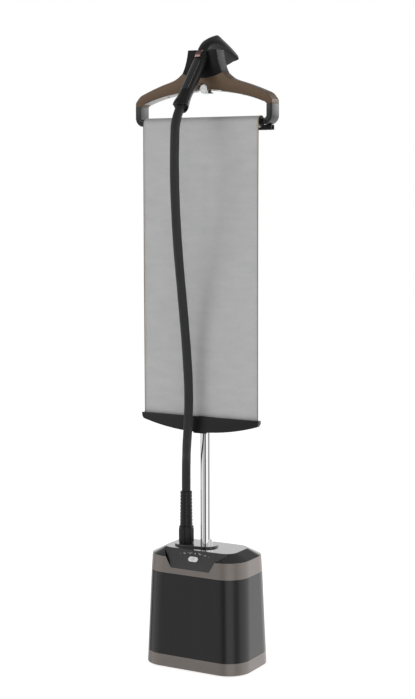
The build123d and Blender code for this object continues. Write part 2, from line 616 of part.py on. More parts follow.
CRADLE_SCREWS = [(-34, 1655), (34, 1655)]
with BuildPart() as cradle:
    with BuildSketch(FRONT.offset(-FRAME_DEPTH / 2)):
        with BuildLine():
            RadiusArc((0, CRADLE_MID_Z + 0.1), (CRADLE_SIDE[0], CRADLE_SIDE[1] + 0.1), -144)
            Spline((CRADLE_SIDE[0], CRADLE_SIDE[1] + 0.1), (52.5, 1672), (44.4, 1711.5),
                   tangents=((-0.55, 0.84), (-0.08, 1)))
            Polyline((44.4, 1711.5), (0, 1711.5), (0, CRADLE_MID_Z + 0.1))
        make_face()
        mirror(about=Plane.YZ)
    extrude(amount=FRAME_DEPTH)
    add(cradle_slot.part, mode=Mode.SUBTRACT)
    for x, z in CRADLE_SCREWS:
        add(rod(Plane((x, FRAME_DEPTH / 2 + 1, z), z_dir=(0, -1, 0)), 2, 19), mode=Mode.SUBTRACT)
cradle.part.label = "cradle"
export_step(cradle.part, "parts/cradle.step")

with BuildPart() as cradle_screws:
    for x, z in CRADLE_SCREWS:
        add(rod(Plane((x, FRAME_DEPTH / 2, z), z_dir=(0, -1, 0)), 2, 17))
        add(rod(Plane((x, FRAME_DEPTH / 2, z), z_dir=(0, 1, 0)), 4, 1.6))
cradle_screws.part.label = "cradle_screws"
export_step(cradle_screws.part, "parts/cradle_screws.step")

CUFF_TOP, CUFF_FLOOR, CUFF_MOUTH, NECK = -80.0, -85.0, -118.0, 70.0
HANDLE_SECTIONS = [(CUFF_TOP, 17, 17.5), (-40, 17.5, 18.5), (0, 18, 19), (40, 18, 19), (NECK, 18, 19)]
INSET_LOW, INSET_HIGH, INSET_HALF = -64.0, 44.0, 9.5
TRIGGER_LOW, TRIGGER_HIGH, TRIGGER_HALF = 50.0, 76.0, 8.5
TRIGGER_PIVOT, PIVOT_R = 16.0, 1.2


def handle_form(grow=0.0):
    """Outer form of the handle, lofted through ovals."""
    ovals = []
    for s, half_x, half_y in HANDLE_SECTIONS:
        with BuildSketch(handle_plane(s)) as oval:
            Ellipse(half_x + grow, half_y + grow)
        ovals.append(oval.sketch)
    with BuildPart() as form:
        loft(ovals)
    return form.part


def side_block(s_low, s_high, low, high, half):
    """Block along the handle, from low to high towards its front side."""
    with BuildPart() as block:
        with BuildSketch(SIDE):
            with Locations(((s_low + s_high) / 2, (low + high) / 2)):
                Rectangle(s_high - s_low, high - low)
        extrude(amount=half, both=True)
    return block.part


with BuildPart() as handle_inset:
    add(handle_form(0.5))
    add(handle_form(-2), mode=Mode.SUBTRACT)
    add(side_block(INSET_LOW, INSET_HIGH, 5, 30, INSET_HALF), mode=Mode.INTERSECT)
handle_inset.part.label = "handle_inset"
export_step(handle_inset.part, "parts/handle_inset.step")

with BuildPart() as handle_body:
    add(handle_form())
    add(side_block(TRIGGER_LOW - 0.7, NECK + 1, 10.5, 30, TRIGGER_HALF + 0.6), mode=Mode.SUBTRACT)
    add(handle_inset.part, mode=Mode.SUBTRACT)
    add(rod(handle_plane(CUFF_TOP - 1), 8.5, NECK - CUFF_TOP + 2), mode=Mode.SUBTRACT)
handle_body.part.label = "handle_body"
export_step(handle_body.part, "parts/handle_body.step")

with BuildPart() as handle_pipe:
    add(rod(handle_plane(CUFF_FLOOR), 5, NECK - CUFF_FLOOR))
handle_pipe.part.label = "handle_pipe"
export_step(handle_pipe.part, "parts/handle_pipe.step")

with BuildPart() as steam_trigger:
    with BuildSketch(SIDE):
        with BuildLine():
            Polyline((TRIGGER_HIGH, 19.5), (TRIGGER_HIGH, 14), (TRIGGER_LOW, 14), (TRIGGER_LOW, 20.5))
            ThreePointArc((TRIGGER_LOW, 20.5), (62, 24), (TRIGGER_HIGH, 19.5))
        make_face()
    extrude(amount=TRIGGER_HALF, both=True)
    fillet(steam_trigger.faces().sort_by(Axis(HANDLE_O, (0, -HANDLE_DIR[2], HANDLE_DIR[1])))[-1].edges(), 1.2)
    # round barrel that the trigger turns on
    with BuildSketch(SIDE):
        with Locations((TRIGGER_HIGH, TRIGGER_PIVOT)):
            Circle(PIVOT_R)
    extrude(amount=TRIGGER_HALF, both=True)
steam_trigger.part.label = "steam_trigger"
export_step(steam_trigger.part, "parts/steam_trigger.step")

with BuildPart() as head_cuff:
    for s, radius in ((CUFF_MOUTH, 20.4), (-108, 21.6), (-96, 20), (CUFF_TOP, 18.2)):
        with BuildSketch(handle_plane(s)):
            Circle(radius)
    loft()
    add(rod(handle_plane(CUFF_MOUTH - 1), HOSE_R + 1.0, CUFF_FLOOR - CUFF_MOUTH + 1), mode=Mode.SUBTRACT)
    add(rod(handle_plane(CUFF_FLOOR - 1), 5.2, 8), mode=Mode.SUBTRACT)
    # arch in each side of the mouth leaves a lobe in front and behind
    with BuildSketch(SIDE):
        with Locations((CUFF_MOUTH - 7, 0)):
            Circle(15)
    extrude(amount=30, both=True, mode=Mode.SUBTRACT)
head_cuff.part.label = "head_cuff"
export_step(head_cuff.part, "parts/head_cuff.step")

# head outlines: y, z of the centre, lean of the normal, half width, rise above and below, corner power
PLATE = (83.4, 1695.0, 66.5, 56.0, 67.0, 25.0, 1.15)
HEAD_SECTIONS = [(*on_handle(NECK)[1:], HANDLE_TILT, 18.0, 19.0, 19.0, 2.0),
                 (27.0, 1722.0, 56.0, 27.0, 25.0, 25.0, 1.9),
                 (55.0, 1712.0, 63.0, 42.0, 44.0, 26.0, 1.45),
                 PLATE]
OUTLINE_POINTS = 24


def head_outline(y, z, lean, half, rise, drop, power, shrink=0.0):
    """Rounded kite or oval across the head; power 2 is an ellipse, near 1 has straight sides."""
    lean = math.radians(lean)
    points = []
    for i in range(OUTLINE_POINTS):
        turn = math.tau * i / OUTLINE_POINTS
        c, s = math.cos(turn), math.sin(turn)
        tall = rise if s > 0 else drop
        r = (abs(c / half) ** power + abs(s / tall) ** power) ** (-1 / power) - shrink
        points.append((r * c, -r * s))
    with BuildSketch(Plane((0, y, z), x_dir=(1, 0, 0), z_dir=(0, math.sin(lean), math.cos(lean)))) as outline:
        with BuildLine():
            Spline(*points, periodic=True)
        make_face()
    return outline.sketch


with BuildPart() as cradle_room:
    add(box_between((-62, -FRAME_DEPTH / 2 - 1, 1630), (62, FRAME_DEPTH / 2 + 0.7, 1712.5)))
    with BuildSketch(handle_plane(-60)):
        Circle(SLOT_R - 0.5)
        with Locations((0, -50)):
            Rectangle(2 * SLOT_R - 1, 100)
    extrude(amount=260, mode=Mode.SUBTRACT)

with BuildPart() as head_shell:
    loft([head_outline(*section) for section in HEAD_SECTIONS])
    add(cradle_room.part, mode=Mode.SUBTRACT)
    add(side_block(NECK - 1, TRIGGER_HIGH + 1.5, 10.5, 40, TRIGGER_HALF + 0.6), mode=Mode.SUBTRACT)
head_shell.part.label = "head_shell"
export_step(head_shell.part, "parts/head_shell.step")

PLATE_T = 6.0
with BuildPart() as soleplate:
    extrude(head_outline(*PLATE, shrink=1.5), amount=PLATE_T)
    plate_lean = math.radians(PLATE[2])
    with BuildSketch(Plane((0, PLATE[0], PLATE[1]), x_dir=(1, 0, 0),
                           z_dir=(0, math.sin(plate_lean), math.cos(plate_lean)))):
        with Locations(*[(12 * i, 8 - 0.9 * i * i) for i in range(-3, 4)], (0, -40), (-9, -28), (9, -28)):
            Circle(1.6)
    extrude(amount=PLATE_T + 1, mode=Mode.SUBTRACT)
soleplate.part.label = "soleplate"
export_step(soleplate.part, "parts/soleplate.step")

# ================================================================ hose
with BuildPart() as hose_connector:
    add(rod(Plane((HOSE_X, HOSE_Y, BOSS_TOP)), 20.5, 50))
    chamfer(hose_connector.edges().group_by(Axis.Z)[-1], 2)
    add(rod(Plane((HOSE_X, HOSE_Y, DECK_Z - WALL)), 11.8, BOSS_TOP - DECK_Z + WALL))
    # grip ribs round the collar
    with BuildSketch(Plane.XY.offset(BOSS_TOP + 4)):
        with Locations((HOSE_X, HOSE_Y)):
            with PolarLocations(20.3, 18):
                Circle(1.3)
    extrude(amount=38)
    add(rod(Plane((HOSE_X, HOSE_Y, DECK_Z - WALL - 1)), 5, 60), mode=Mode.SUBTRACT)
hose_connector.part.label = "hose_connector"
export_step(hose_connector.part, "parts/hose_connector.step")

RELIEF_BOTTOM = BOSS_TOP + 50
RELIEF_RIBS = 9
with BuildPart() as strain_relief:
    with BuildSketch(Plane((HOSE_X, HOSE_Y, 0), x_dir=(1, 0, 0), z_dir=(0, -1, 0))):
        with BuildLine():
            Polyline((5, RELIEF_BOTTOM), (17, RELIEF_BOTTOM), (15.4, RELIEF_TOP - 8), (16.8, RELIEF_TOP - 8),
                     (16.8, RELIEF_TOP), (5, RELIEF_TOP), close=True)
        make_face()
        for i in range(RELIEF_RIBS):
            rib_z = RELIEF_BOTTOM + 6 + i * (RELIEF_TOP - RELIEF_BOTTOM - 20) / (RELIEF_RIBS - 1)
            with Locations((16.2 - 0.12 * i, rib_z)):
                Rectangle(3.4, 5)
    revolve(axis=Axis((HOSE_X, HOSE_Y, 0), (0, 0, 1)))
strain_relief.part.label = "strain_relief"
export_step(strain_relief.part, "parts/strain_relief.step")

HOSE_ROUTE = [
    (HOSE_X, HOSE_Y, RELIEF_TOP), (HOSE_X, HOSE_Y, 536), (-53, -22, 583), (-35, -49, 630),
    (-20.5, -67, 684), (-16.5, -68, 775), (-21.5, -73, 905), (-22.5, -94, 1045), (-16, -127, 1175),
    (-6, -156, 1290), (1, -172, 1385), (3.5, -174, 1462), on_handle(-152), on_handle(CUFF_FLOOR - 0.3),
]


def bend_radii(points):
    """Radius at each corner: 0.45 of the shorter run over the tangent of half the turn."""
    radii = []
    for a, b, c in zip(points, points[1:], points[2:]):
        run_in, run_out = Vector(b) - Vector(a), Vector(c) - Vector(b)
        half_turn = math.radians(run_in.get_angle(run_out)) / 2
        radii.append(0.45 * min(run_in.length, run_out.length) / math.tan(half_turn))
    return radii


hose_radii = bend_radii(HOSE_ROUTE)
with BuildPart() as steam_hose:
    with BuildLine() as hose_line:
        FilletPolyline(*HOSE_ROUTE, radius=hose_radii)
    with BuildSketch(Plane(hose_line.line @ 0, z_dir=hose_line.line % 0)):
        Circle(HOSE_R)
    sweep()
steam_hose.part.label = "steam_hose"
export_step(steam_hose.part, "parts/steam_hose.step")
print("hose radii", [round(r) for r in hose_radii])
hose_length = sum(edge.length for edge in hose_line.edges())
print("hose length", round(hose_length, 1), "volume over section times length",
      round(steam_hose.part.volume / (math.pi * HOSE_R ** 2 * hose_length), 4))

# ================================================================ roller screen
with BuildPart() as roller_tube:
    with BuildSketch(Plane((-SCREEN_HALF, ROLLER_Y, ROLLER_Z), z_dir=(1, 0, 0))):
        Circle(ROLLER_R)
        Circle(ROLLER_R - 1.5, mode=Mode.SUBTRACT)
    extrude(amount=2 * SCREEN_HALF)
roller_tube.part.label = "roller_tube"
export_step(roller_tube.part, "parts/roller_tube.step")

with BuildPart() as screen_roll:
    with BuildSketch(Plane((-SCREEN_HALF + 0.5, ROLLER_Y, ROLLER_Z), z_dir=(1, 0, 0))):
        Circle(ROLL_R)
        Circle(ROLLER_R, mode=Mode.SUBTRACT)
    extrude(amount=2 * SCREEN_HALF - 1)
screen_roll.part.label = "screen_roll"
export_step(screen_roll.part, "parts/screen_roll.step")

with BuildPart() as roller_plugs:
    for side in (-1, 1):
        end = Plane((side * SCREEN_HALF, ROLLER_Y, ROLLER_Z), z_dir=(side, 0, 0))
        add(rod(end.offset(-12), ROLLER_R - 1.5, 12))
        add(rod(end, ROLLER_R + 1, 1.5))
        add(rod(end, PIN_HOLE_R, 15))
roller_plugs.part.label = "roller_plugs"
export_step(roller_plugs.part, "parts/roller_plugs.step")

with BuildPart() as spring_shaft:
    add(rod(Plane((12 - SCREEN_HALF, ROLLER_Y, ROLLER_Z), z_dir=(1, 0, 0)), 3, 200))
    for i in range(10):
        add(rod(Plane((-150 + 18 * i, ROLLER_Y, ROLLER_Z), z_dir=(1, 0, 0)), 8, 9))
spring_shaft.part.label = "spring_shaft"
export_step(spring_shaft.part, "parts/spring_shaft.step")

with BuildPart() as screen_fabric:
    add(box_between((-SCREEN_HALF, SCREEN_Y - 0.4 - SCREEN_T, BAR_TOP + 0.3),
                    (SCREEN_HALF, SCREEN_Y - 0.4, ROLLER_Z)))
screen_fabric.part.label = "screen_fabric"
export_step(screen_fabric.part, "parts/screen_fabric.step")

TONGUE = ((-20, -40, 661), (20, -31, 671))
with BuildPart() as bottom_bar:
    with BuildSketch(FRONT.offset(-BAR_BACK)):
        with BuildLine():
            Polyline((-181, 692), (-BAR_HALF, 700), (-BAR_HALF, BAR_TOP), (BAR_HALF, BAR_TOP),
                     (BAR_HALF, 700), (181, 692))
            ThreePointArc((181, 692), (0, BAR_BOTTOM), (-181, 692))
        make_face()
    extrude(amount=BAR_BACK - BAR_FRONT)
    add(box_between(*TONGUE), mode=Mode.SUBTRACT)
bottom_bar.part.label = "bottom_bar"
export_step(bottom_bar.part, "parts/bottom_bar.step")

with BuildPart() as bar_tongue:
    add(box_between(*TONGUE))
    fillet(bar_tongue.faces().sort_by(Axis.Z)[0].edges(), 2)
bar_tongue.part.label = "bar_tongue"
export_step(bar_tongue.part, "parts/bar_tongue.step")
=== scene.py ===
import json
import math

import bmesh
import bpy
from mathutils import Matrix, Vector
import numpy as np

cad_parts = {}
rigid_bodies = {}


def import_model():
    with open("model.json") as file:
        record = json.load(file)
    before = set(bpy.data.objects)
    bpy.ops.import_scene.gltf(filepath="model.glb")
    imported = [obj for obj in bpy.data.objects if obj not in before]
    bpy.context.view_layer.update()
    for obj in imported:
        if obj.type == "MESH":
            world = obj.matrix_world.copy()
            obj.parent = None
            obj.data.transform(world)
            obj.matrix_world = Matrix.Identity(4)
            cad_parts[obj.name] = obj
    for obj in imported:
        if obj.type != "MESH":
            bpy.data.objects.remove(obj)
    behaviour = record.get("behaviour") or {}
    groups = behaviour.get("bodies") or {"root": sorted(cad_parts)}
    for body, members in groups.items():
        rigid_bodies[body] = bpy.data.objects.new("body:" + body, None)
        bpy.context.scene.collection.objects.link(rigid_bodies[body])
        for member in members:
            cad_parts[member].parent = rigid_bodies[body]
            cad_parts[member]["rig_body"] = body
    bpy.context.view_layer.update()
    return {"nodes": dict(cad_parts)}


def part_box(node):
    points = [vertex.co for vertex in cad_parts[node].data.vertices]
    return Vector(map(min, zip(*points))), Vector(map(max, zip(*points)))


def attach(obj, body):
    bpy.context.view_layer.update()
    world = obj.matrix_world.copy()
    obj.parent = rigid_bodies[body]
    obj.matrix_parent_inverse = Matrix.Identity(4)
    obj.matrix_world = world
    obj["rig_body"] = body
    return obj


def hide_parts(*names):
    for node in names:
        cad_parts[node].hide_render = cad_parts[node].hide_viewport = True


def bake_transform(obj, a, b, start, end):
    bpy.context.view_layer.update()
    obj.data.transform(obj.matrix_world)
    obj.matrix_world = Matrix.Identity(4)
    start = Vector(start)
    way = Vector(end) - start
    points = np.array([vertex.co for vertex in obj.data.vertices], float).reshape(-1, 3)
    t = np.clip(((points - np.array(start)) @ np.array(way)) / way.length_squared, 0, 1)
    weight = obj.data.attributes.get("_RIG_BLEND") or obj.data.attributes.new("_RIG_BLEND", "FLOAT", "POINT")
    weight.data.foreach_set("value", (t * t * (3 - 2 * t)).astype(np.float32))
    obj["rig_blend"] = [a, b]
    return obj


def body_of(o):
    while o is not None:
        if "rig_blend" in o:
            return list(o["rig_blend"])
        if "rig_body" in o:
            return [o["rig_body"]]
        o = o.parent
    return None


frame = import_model()
nodes = frame["nodes"]
scene = bpy.context.scene
scene.view_settings.view_transform = "Standard"

# ------------------------------------------------------------------ camera
CAMERA_PLACE = (2.106, -3.6967, 1.3475)
CAMERA_TURN = math.radians(29.63)          # round to the right of the front
CAMERA_PITCH = math.radians(90 - 6.115)    # looks a little downwards
CAMERA_ROLL = -0.0018

camera = bpy.data.objects.new("camera", bpy.data.cameras.new("camera"))
scene.collection.objects.link(camera)
scene.camera = camera
camera.data.lens = 79.22
camera.data.clip_end = 60
camera.matrix_world = (
    Matrix.Translation(CAMERA_PLACE)
    @ Matrix.Rotation(CAMERA_TURN, 4, "Z")
    @ Matrix.Rotation(CAMERA_PITCH, 4, "X")
    @ Matrix.Rotation(CAMERA_ROLL, 4, "Z")
)


# ------------------------------------------------------------------ node helpers
class Tree:
    """A node tree with short calls for the nodes that these finishes use."""

    def __init__(self, tree):
        self.tree = tree
        tree.nodes.clear()

    def add(self, kind, **inputs):
        node = self.tree.nodes.new(kind)
        for key, value in inputs.items():
            self.put(node, key.replace("_", " "), value)
        return node

    def put(self, node, key, value):
        socket = node.inputs[key]
        if isinstance(value, bpy.types.NodeSocket):
            self.tree.links.new(value, socket)
        else:
            socket.default_value = value

    def math(self, operation, *values, clamp=False):
        node = self.tree.nodes.new("ShaderNodeMath")
        node.operation = operation
        node.use_clamp = clamp
        for index, value in enumerate(values):
            self.put(node, index, value)
        return node.outputs[0]

    def ramp(self, factor, stops):
        node = self.tree.nodes.new("ShaderNodeValToRGB")
        node.color_ramp.interpolation = "EASE"
        for _ in range(len(stops) - 2):
            node.color_ramp.elements.new(0.5)
        for element, (place, colour) in zip(node.color_ramp.elements, stops):
            element.position = place
            element.color = (*colour, 1) if hasattr(colour, "__len__") else (colour, colour, colour, 1)
        self.tree.links.new(factor, node.inputs[0])
        return node.outputs[0]

    def noise(self, place, scale, detail=3.0, roughness=0.5):
        node = self.add("ShaderNodeTexNoise", Vector=place, Scale=scale, Detail=detail, Roughness=roughness)
        return node.outputs["Fac"]

    def stretched(self, place, factors):
        node = self.add("ShaderNodeMapping", Vector=place, Scale=factors)
        return node.outputs[0]

    def split(self, place):
        return self.add("ShaderNodeSeparateXYZ", Vector=place).outputs

    def blend(self, factor, low, high):
        node = self.tree.nodes.new("ShaderNodeMix")
        node.data_type = "RGBA"
        self.put(node, 0, factor)
        for index, value in ((6, low), (7, high)):
            self.put(node, index, value if isinstance(value, bpy.types.NodeSocket) else (*value, 1))
        return node.outputs[2]

    def bump(self, height, strength, distance):
        return self.add("ShaderNodeBump", Height=height, Strength=strength, Distance=distance).outputs[0]


# ------------------------------------------------------------------ light and floor
world = bpy.data.worlds.new("studio")
scene.world = world
world.use_nodes = True
sky = Tree(world.node_tree)
direction = sky.split(sky.add("ShaderNodeTexCoord").outputs["Generated"])
heading = sky.math("ARCTAN2", direction[1], direction[0])
turn = sky.math("MULTIPLY_ADD", heading, 1 / (2 * math.pi), 0.5)
# brightness of the studio walls, from -X through the front (-Y), the right (+X) and the rear back to -X
walls = sky.ramp(turn, [
    (0.000, 0.90), (0.100, 0.80), (0.160, 0.50), (0.225, 0.50), (0.250, 0.06), (0.285, 0.06), (0.310, 1.10),
    (0.385, 1.10), (0.415, 0.30), (0.455, 0.30), (0.500, 1.05), (0.600, 1.30), (0.700, 1.50), (0.780, 1.05),
    (0.900, 1.00), (0.945, 0.85), (0.960, 0.03), (0.985, 0.03), (1.000, 0.90),
])
overhead = sky.ramp(direction[2], [(0.0, 0.0), (0.22, 0.0), (0.50, 1.0), (1.0, 1.0)])
studio = sky.blend(overhead, walls, (0.22, 0.22, 0.22))
seen = sky.add("ShaderNodeLightPath").outputs["Is Camera Ray"]
backdrop = sky.blend(seen, studio, (1.0, 1.0, 1.0))
shine = sky.add("ShaderNodeBackground", Color=backdrop, Strength=1.0)
sky.add("ShaderNodeOutputWorld", Surface=shine.outputs[0])


def lamp(name, place, aim, size, power):
    data = bpy.data.lights.new(name, "AREA")
    data.shape = "RECTANGLE"
    data.size, data.size_y = size
    data.energy = power
    light = bpy.data.objects.new(name, data)
    scene.collection.objects.link(light)
    light.location = place
    light.rotation_euler = (Vector(aim) - Vector(place)).to_track_quat("-Z", "Y").to_euler()


lamp("key", (-2.2, -3.4, 3.2), (0, 0, 0.9), (1.6, 2.6), 40)
lamp("fill", (3.4, -1.2, 2.2), (0, 0, 0.8), (1.0, 2.4), 16)
lamp("rim", (1.5, 3.2, 2.6), (0, 0, 1.2), (1.8, 1.8), 26)

floor = bpy.data.objects.new("floor", bpy.data.meshes.new("floor"))
scene.collection.objects.link(floor)
FLOOR_REACH, FLOOR_Z = 14.0, -0.0006
floor.data.from_pydata(
    [(x * FLOOR_REACH, y * FLOOR_REACH, FLOOR_Z) for x, y in ((-1, -1), (1, -1), (1, 1), (-1, 1))],
    [], [(0, 1, 2, 3)],
)
paint = bpy.data.materials.new("floor_paper")
paint.use_nodes = True
paper = Tree(paint.node_tree)
where = paper.add("ShaderNodeTexCoord").outputs["Object"]
tone = paper.blend(paper.noise(where, 3.0), (0.93, 0.93, 0.93), (0.97, 0.97, 0.97))
sheet_of_paper = paper.add("ShaderNodeBsdfPrincipled", Base_Color=tone, Roughness=0.75)
# the paper glows a little, so that it reads as pale as the walls
paper.put(sheet_of_paper, "Emission Color", (1, 1, 1, 1))
paper.put(sheet_of_paper, "Emission Strength", 0.70)
paper.add("ShaderNodeOutputMaterial", Surface=sheet_of_paper.outputs[0])
floor.data.materials.append(paint)
# dark gloss shows the walls and not the paper
floor.visible_glossy = False


# ------------------------------------------------------------------ finishes
# the pack's own materials give up their names to the finishes below
PACKED = "packed_"
for material in list(bpy.data.materials):
    if material.name != "floor_paper":
        material.name = PACKED + material.name


def start(name):
    """A new material: its tree, its place in the row frame in metres, and its principled shader."""
    material = bpy.data.materials.new(name)
    material.use_nodes = True
    tree = Tree(material.node_tree)
    shader = tree.add("ShaderNodeBsdfPrincipled")
    tree.add("ShaderNodeOutputMaterial", Surface=shader.outputs[0])
    place = tree.add("ShaderNodeTexCoord").outputs["Object"]
    return material, tree, place, shader


def mixed(colour, factor):
    return tuple(min(1.0, c * factor) for c in colour)


def moulded(name, colour, rough, mottle=0.10, patch=30.0, grain=1400.0, grain_depth=0.00004, spread=0.08,
            metal=0.0, coat=0.0, coat_rough=0.05, specular=0.5, stretch=(1, 1, 1), dust=0.0):
    """Moulded, sprayed or cast surface: patchy tone, fine grain in the relief, and uneven gloss."""
    material, tree, place, shader = start(name)
    along = tree.stretched(place, stretch)
    patches = tree.noise(along, patch, 4.0, 0.55)
    fine = tree.noise(along, grain, 2.0, 0.6)
    tone = tree.blend(patches, mixed(colour, 1 - mottle), mixed(colour, 1 + mottle))
    tone = tree.blend(tree.math("MULTIPLY", fine, 0.35), tone, mixed(colour, 1.35))
    if dust:
        lie = tree.split(tree.add("ShaderNodeNewGeometry").outputs["Normal"])[2]
        fall = tree.math("MULTIPLY", tree.math("MULTIPLY", lie, patches, clamp=True), dust)
        tone = tree.blend(fall, tone, (0.42, 0.41, 0.39))
    smear = tree.noise(along, patch * 5, 3.0, 0.65)
    gloss = tree.math("MULTIPLY_ADD", smear, 2 * spread, rough - spread, clamp=True)
    tree.put(shader, "Base Color", tone)
    tree.put(shader, "Roughness", gloss)
    tree.put(shader, "Metallic", metal)
    tree.put(shader, "Specular IOR Level", specular)
    tree.put(shader, "Coat Weight", coat)
    tree.put(shader, "Coat Roughness", coat_rough)
    tree.put(shader, "Normal", tree.bump(fine, 0.6, grain_depth))
    return material


def polished_tube(name, colour, rough):
    """Drawn and plated tube: faint lengthwise drawing lines, wiping marks and a few specks."""
    material, tree, place, shader = start(name)
    lines = tree.noise(tree.stretched(place, (900, 900, 3)), 1.0, 2.0)
    wiping = tree.noise(tree.stretched(place, (20, 20, 60)), 1.0, 4.0, 0.7)
    specks = tree.noise(place, 700.0, 1.0)
    tree.put(shader, "Base Color", tree.blend(wiping, mixed(colour, 0.93), colour))
    tree.put(shader, "Metallic", 1.0)
    marks = tree.math("MULTIPLY_ADD", wiping, 0.06, rough)
    dull = tree.math("GREATER_THAN", specks, 0.72)
    tree.put(shader, "Roughness", tree.math("MULTIPLY_ADD", dull, 0.12, marks))
    tree.put(shader, "Normal", tree.bump(lines, 0.25, 0.00001))
    return material


def brushed(name, colour, rough, stretch):
    """Ground or brushed metal, its marks drawn out along the axes with the smaller factors."""
    material, tree, place, shader = start(name)
    lines = tree.noise(tree.stretched(place, stretch), 1.0, 5.0, 0.65)
    stains = tree.noise(place, 40.0, 4.0)
    tarnish = tree.math("MULTIPLY", lines, stains)
    tree.put(shader, "Base Color", tree.blend(tarnish, mixed(colour, 0.7), mixed(colour, 1.15)))
    tree.put(shader, "Metallic", 1.0)
    tree.put(shader, "Roughness", tree.math("MULTIPLY_ADD", lines, 0.22, rough - 0.08))
    tree.put(shader, "Normal", tree.bump(lines, 0.5, 0.00003))
    return material


def screen_cloth(name, colour, thread_pitch, alpha):
    """Open woven mesh: warp and weft threads, broad tension bands, and light through the holes."""
    material, tree, place, shader = start(name)
    x, _, z = tree.split(place)
    turns = 2 * math.pi / thread_pitch
    warp = tree.math("SINE", tree.math("MULTIPLY", x, turns))
    weft = tree.math("SINE", tree.math("MULTIPLY", z, turns))
    weave = tree.math("MULTIPLY_ADD", tree.math("ABSOLUTE", tree.math("MULTIPLY", warp, weft)), -0.5, 1.0)
    bands = tree.noise(tree.stretched(place, (14, 1, 42)), 1.0, 5.0, 0.6)
    flecks = tree.noise(tree.stretched(place, (160, 1, 420)), 1.0, 3.0, 0.7)
    mood = tree.math("MULTIPLY_ADD", flecks, 0.45, tree.math("MULTIPLY", bands, 0.55))
    tree.put(shader, "Base Color", tree.blend(mood, mixed(colour, 0.72), mixed(colour, 1.22)))
    tree.put(shader, "Roughness", tree.math("MULTIPLY_ADD", bands, 0.2, 0.55))
    tree.put(shader, "Sheen Weight", 0.25)
    tree.put(shader, "Sheen Roughness", 0.5)
    if alpha < 1:
        tree.put(shader, "Alpha", tree.math("MULTIPLY_ADD", weave, 0.16, alpha - 0.10, clamp=True))
    tree.put(shader, "Normal", tree.bump(weave, 0.7, 0.0002))
    return material


def braid_cloth(name, colour, strands_round, pitch):
    """Braided textile sleeve over the hose; it reads the sleeve's own round and along directions."""
    material, tree, _, shader = start(name)
    uv = tree.add("ShaderNodeTexCoord").outputs["UV"]
    around, along, _ = tree.split(uv)
    left = tree.math("MULTIPLY_ADD", around, strands_round, tree.math("MULTIPLY", along, 1 / pitch))
    right = tree.math("MULTIPLY_ADD", around, -strands_round, tree.math("MULTIPLY", along, 1 / pitch))
    strands = [tree.math("SINE", tree.math("MULTIPLY", s, 2 * math.pi)) for s in (left, right)]
    crest = tree.math("MAXIMUM", *[tree.math("ABSOLUTE", s) for s in strands])
    wear = tree.noise(tree.stretched(uv, (3, 22, 1)), 1.0, 4.0)
    # painted shade and highlight: the sleeve is darker in the grooves between the strands and lighter on
    # their crests
    tone = tree.blend(tree.math("POWER", crest, 3.0), mixed(colour, 0.45), mixed(colour, 1.25))
    tree.put(shader, "Base Color", tree.blend(tree.math("MULTIPLY", wear, 0.5), tone, mixed(colour, 1.6)))
    tree.put(shader, "Roughness", tree.math("MULTIPLY_ADD", wear, 0.25, 0.52))
    tree.put(shader, "Sheen Weight", 0.10)
    tree.put(shader, "Sheen Roughness", 0.4)
    tree.put(shader, "Normal", tree.bump(crest, 0.8, 0.0004))
    return material


def cloudy_plastic(name, colour, rough, passing):
    """Tinted or frosted clear moulding, with flow marks and a little haze."""
    material, tree, place, shader = start(name)
    flow = tree.noise(tree.stretched(place, (18, 18, 45)), 1.0, 5.0, 0.6)
    haze = tree.noise(place, 260.0, 3.0)
    tree.put(shader, "Base Color", tree.blend(flow, mixed(colour, 0.85), mixed(colour, 1.1)))
    tree.put(shader, "Roughness", tree.math("MULTIPLY_ADD", haze, 0.2, rough))
    tree.put(shader, "Transmission Weight", passing)
    tree.put(shader, "IOR", 1.46)
    tree.put(shader, "Normal", tree.bump(haze, 0.3, 0.00005))
    return material


def body_gloss():
    """Charcoal housing: satin moulding under a thin lacquer, with faint vertical flow and wiping marks."""
    material, tree, place, shader = start("charcoal_gloss")
    flow = tree.noise(tree.stretched(place, (26, 26, 5)), 1.0, 4.0, 0.55)
    peel = tree.noise(place, 520.0, 2.0)
    wiping = tree.noise(tree.stretched(place, (31, 31, 17)), 1.0, 3.0, 0.6)
    tree.put(shader, "Base Color", tree.blend(flow, (0.0115, 0.0115, 0.0120), (0.0165, 0.0165, 0.0170)))
    tree.put(shader, "Roughness", tree.math("MULTIPLY_ADD", wiping, 0.10, 0.20))
    tree.put(shader, "Specular IOR Level", 0.35)
    tree.put(shader, "Coat Weight", 0.15)
    tree.put(shader, "Coat Roughness", 0.18)
    tree.put(shader, "Normal", tree.bump(peel, 0.35, 0.00003))
    return material


def hanger_satin():
    """Brown hanger moulding: satin metallic paint, with painted shade that darkens it towards its upper and
    lower edges and its ends.
    """
    material, tree, place, shader = start("hanger_brown")
    x, _, z = tree.split(place)
    middle = tree.math("MULTIPLY_ADD", tree.math("POWER", tree.math("ABSOLUTE", x), 1.25), -0.42, 1.642)
    off = tree.math("ABSOLUTE", tree.math("SUBTRACT", z, middle))
    # painted shade: the brown darkens with distance from the bar's middle line, towards its upper and lower
    # edges and its ends
    shade = tree.ramp(tree.math("MULTIPLY", off, 20.0, clamp=True),
                      [(0.0, 0.0), (0.35, 0.10), (0.8, 1.0), (1.0, 1.0)])
    flakes = tree.noise(place, 2600.0, 1.0)
    sweep = tree.noise(tree.stretched(place, (8, 8, 90)), 1.0, 4.0, 0.6)
    base = tree.blend(sweep, (0.078, 0.047, 0.026), (0.118, 0.074, 0.043))
    tone = tree.blend(shade, base, (0.050, 0.033, 0.022))
    tree.put(shader, "Base Color", tree.blend(tree.math("MULTIPLY", flakes, 0.2), tone, (0.30, 0.21, 0.14)))
    tree.put(shader, "Metallic", 0.15)
    tree.put(shader, "Specular IOR Level", 0.3)
    tree.put(shader, "Roughness", tree.math("MULTIPLY_ADD", sweep, 0.14, 0.36))
    tree.put(shader, "Normal", tree.bump(flakes, 0.3, 0.00002))
    return material


